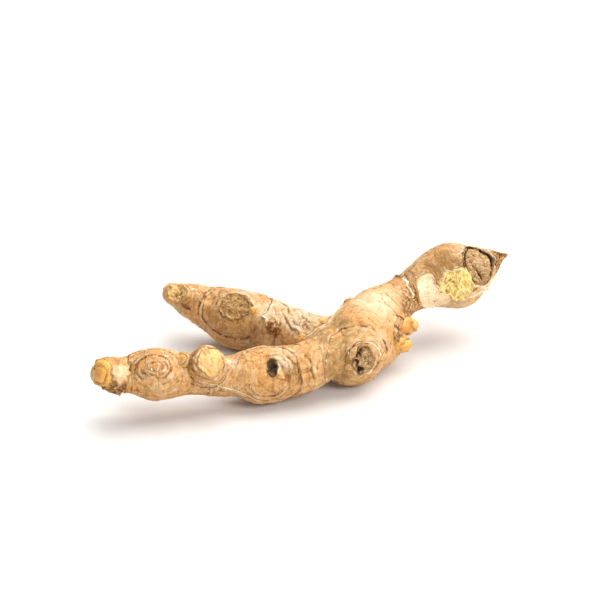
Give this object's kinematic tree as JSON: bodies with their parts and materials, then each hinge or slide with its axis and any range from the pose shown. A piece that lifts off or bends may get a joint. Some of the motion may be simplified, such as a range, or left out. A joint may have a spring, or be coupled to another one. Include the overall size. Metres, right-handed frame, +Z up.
{
  "type": "ginger root",
  "caption": "Fresh whole ginger rhizome with knobbly branching fingers, ringed papery skin, round stem scars, small conical buds and a raised pointed end.",
  "frame": {"origin": "on the surface it lies on, under the middle of its box", "axes": "+X along the length, from the front arm's bud tip to the head's pointed tip; +Y from the front arm to the back arm; +Z up"},
  "size_m": [0.1842, 0.102, 0.0445],
  "materials": {
    "ginger_skin": "dry papery satin skin"
  },
  "bodies": {
    "root": {"ginger_root": "ginger_skin"}
  },
  "joints": []
}
